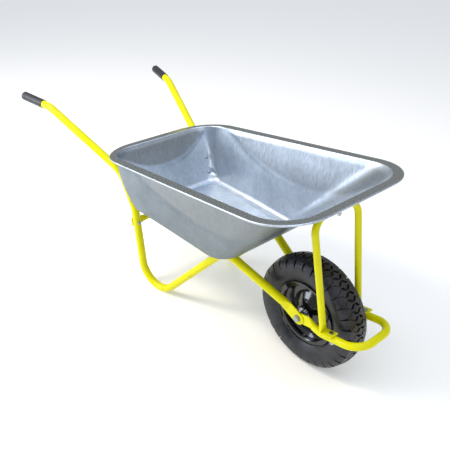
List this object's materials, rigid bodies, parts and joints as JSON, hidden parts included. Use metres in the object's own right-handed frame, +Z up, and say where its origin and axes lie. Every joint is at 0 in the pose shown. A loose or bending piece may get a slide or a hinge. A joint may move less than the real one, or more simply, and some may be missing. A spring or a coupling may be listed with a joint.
{
  "type": "wheelbarrow",
  "caption": "Single-wheel builder's wheelbarrow: deep pressed steel tray on a bolted tubular frame with rubber grips, rear legs, a nose loop and an air-filled tyre.",
  "frame": {"origin": "on the ground, under the middle of the overall box, on the middle plane between the two handles", "axes": "+X runs forward from the grips to the wheel, +Y to the left as seen by the person pushing, +Z up; the barrow stands on its tyre and its two rear feet"},
  "size_m": [1.598, 0.6784, 0.671],
  "materials": {
    "galvanised_sheet": "hot-dip galvanised, cold satin sheen with drawing marks",
    "yellow_paint": "gloss powder coat",
    "black_paint": "gloss enamel",
    "zinc_steel": "bright zinc plate",
    "bearing_steel": "ground and polished",
    "tyre_rubber": "matt, dusty",
    "tube_rubber": "smooth",
    "grip_rubber": "smooth satin",
    "black_plastic": "moulded"
  },
  "bodies": {
    "frame": {"axle_bolt": "zinc_steel", "axle_collars": "zinc_steel", "axle_nut": "zinc_steel", "axle_sleeve": "zinc_steel", "axle_washers": "zinc_steel", "bearing_inner_races": "bearing_steel", "bearing_spacer": "zinc_steel", "crossbar_bolts": "zinc_steel", "crossbar_nuts": "zinc_steel", "foot_bolts": "zinc_steel", "foot_nuts": "zinc_steel", "front_loop": "yellow_paint", "grip_left": "grip_rubber", "grip_right": "grip_rubber", "nose_bolt": "zinc_steel", "nose_nut": "zinc_steel", "nose_support": "yellow_paint", "rear_crossbar": "yellow_paint", "side_tube_left": "yellow_paint", "side_tube_right": "yellow_paint", "tray": "galvanised_sheet", "tray_bolts": "zinc_steel", "tray_nuts": "zinc_steel", "tray_washers": "zinc_steel"},
    "wheel": {"bearing_balls": "bearing_steel", "bearing_outer_races": "bearing_steel", "bearing_shields": "bearing_steel", "hub": "black_paint", "inner_tube": "tube_rubber", "rim_half_left": "black_paint", "rim_half_right": "black_paint", "tyre": "tyre_rubber", "valve_cap": "black_plastic", "valve_stem": "zinc_steel"}
  },
  "joints": [
    {"name": "wheel_spin", "type": "hinge", "parent": "frame", "child": "wheel", "pos_m": [0.53252, 0, 0.2], "axis": [0, 1, 0], "continuous": true}
  ]
}
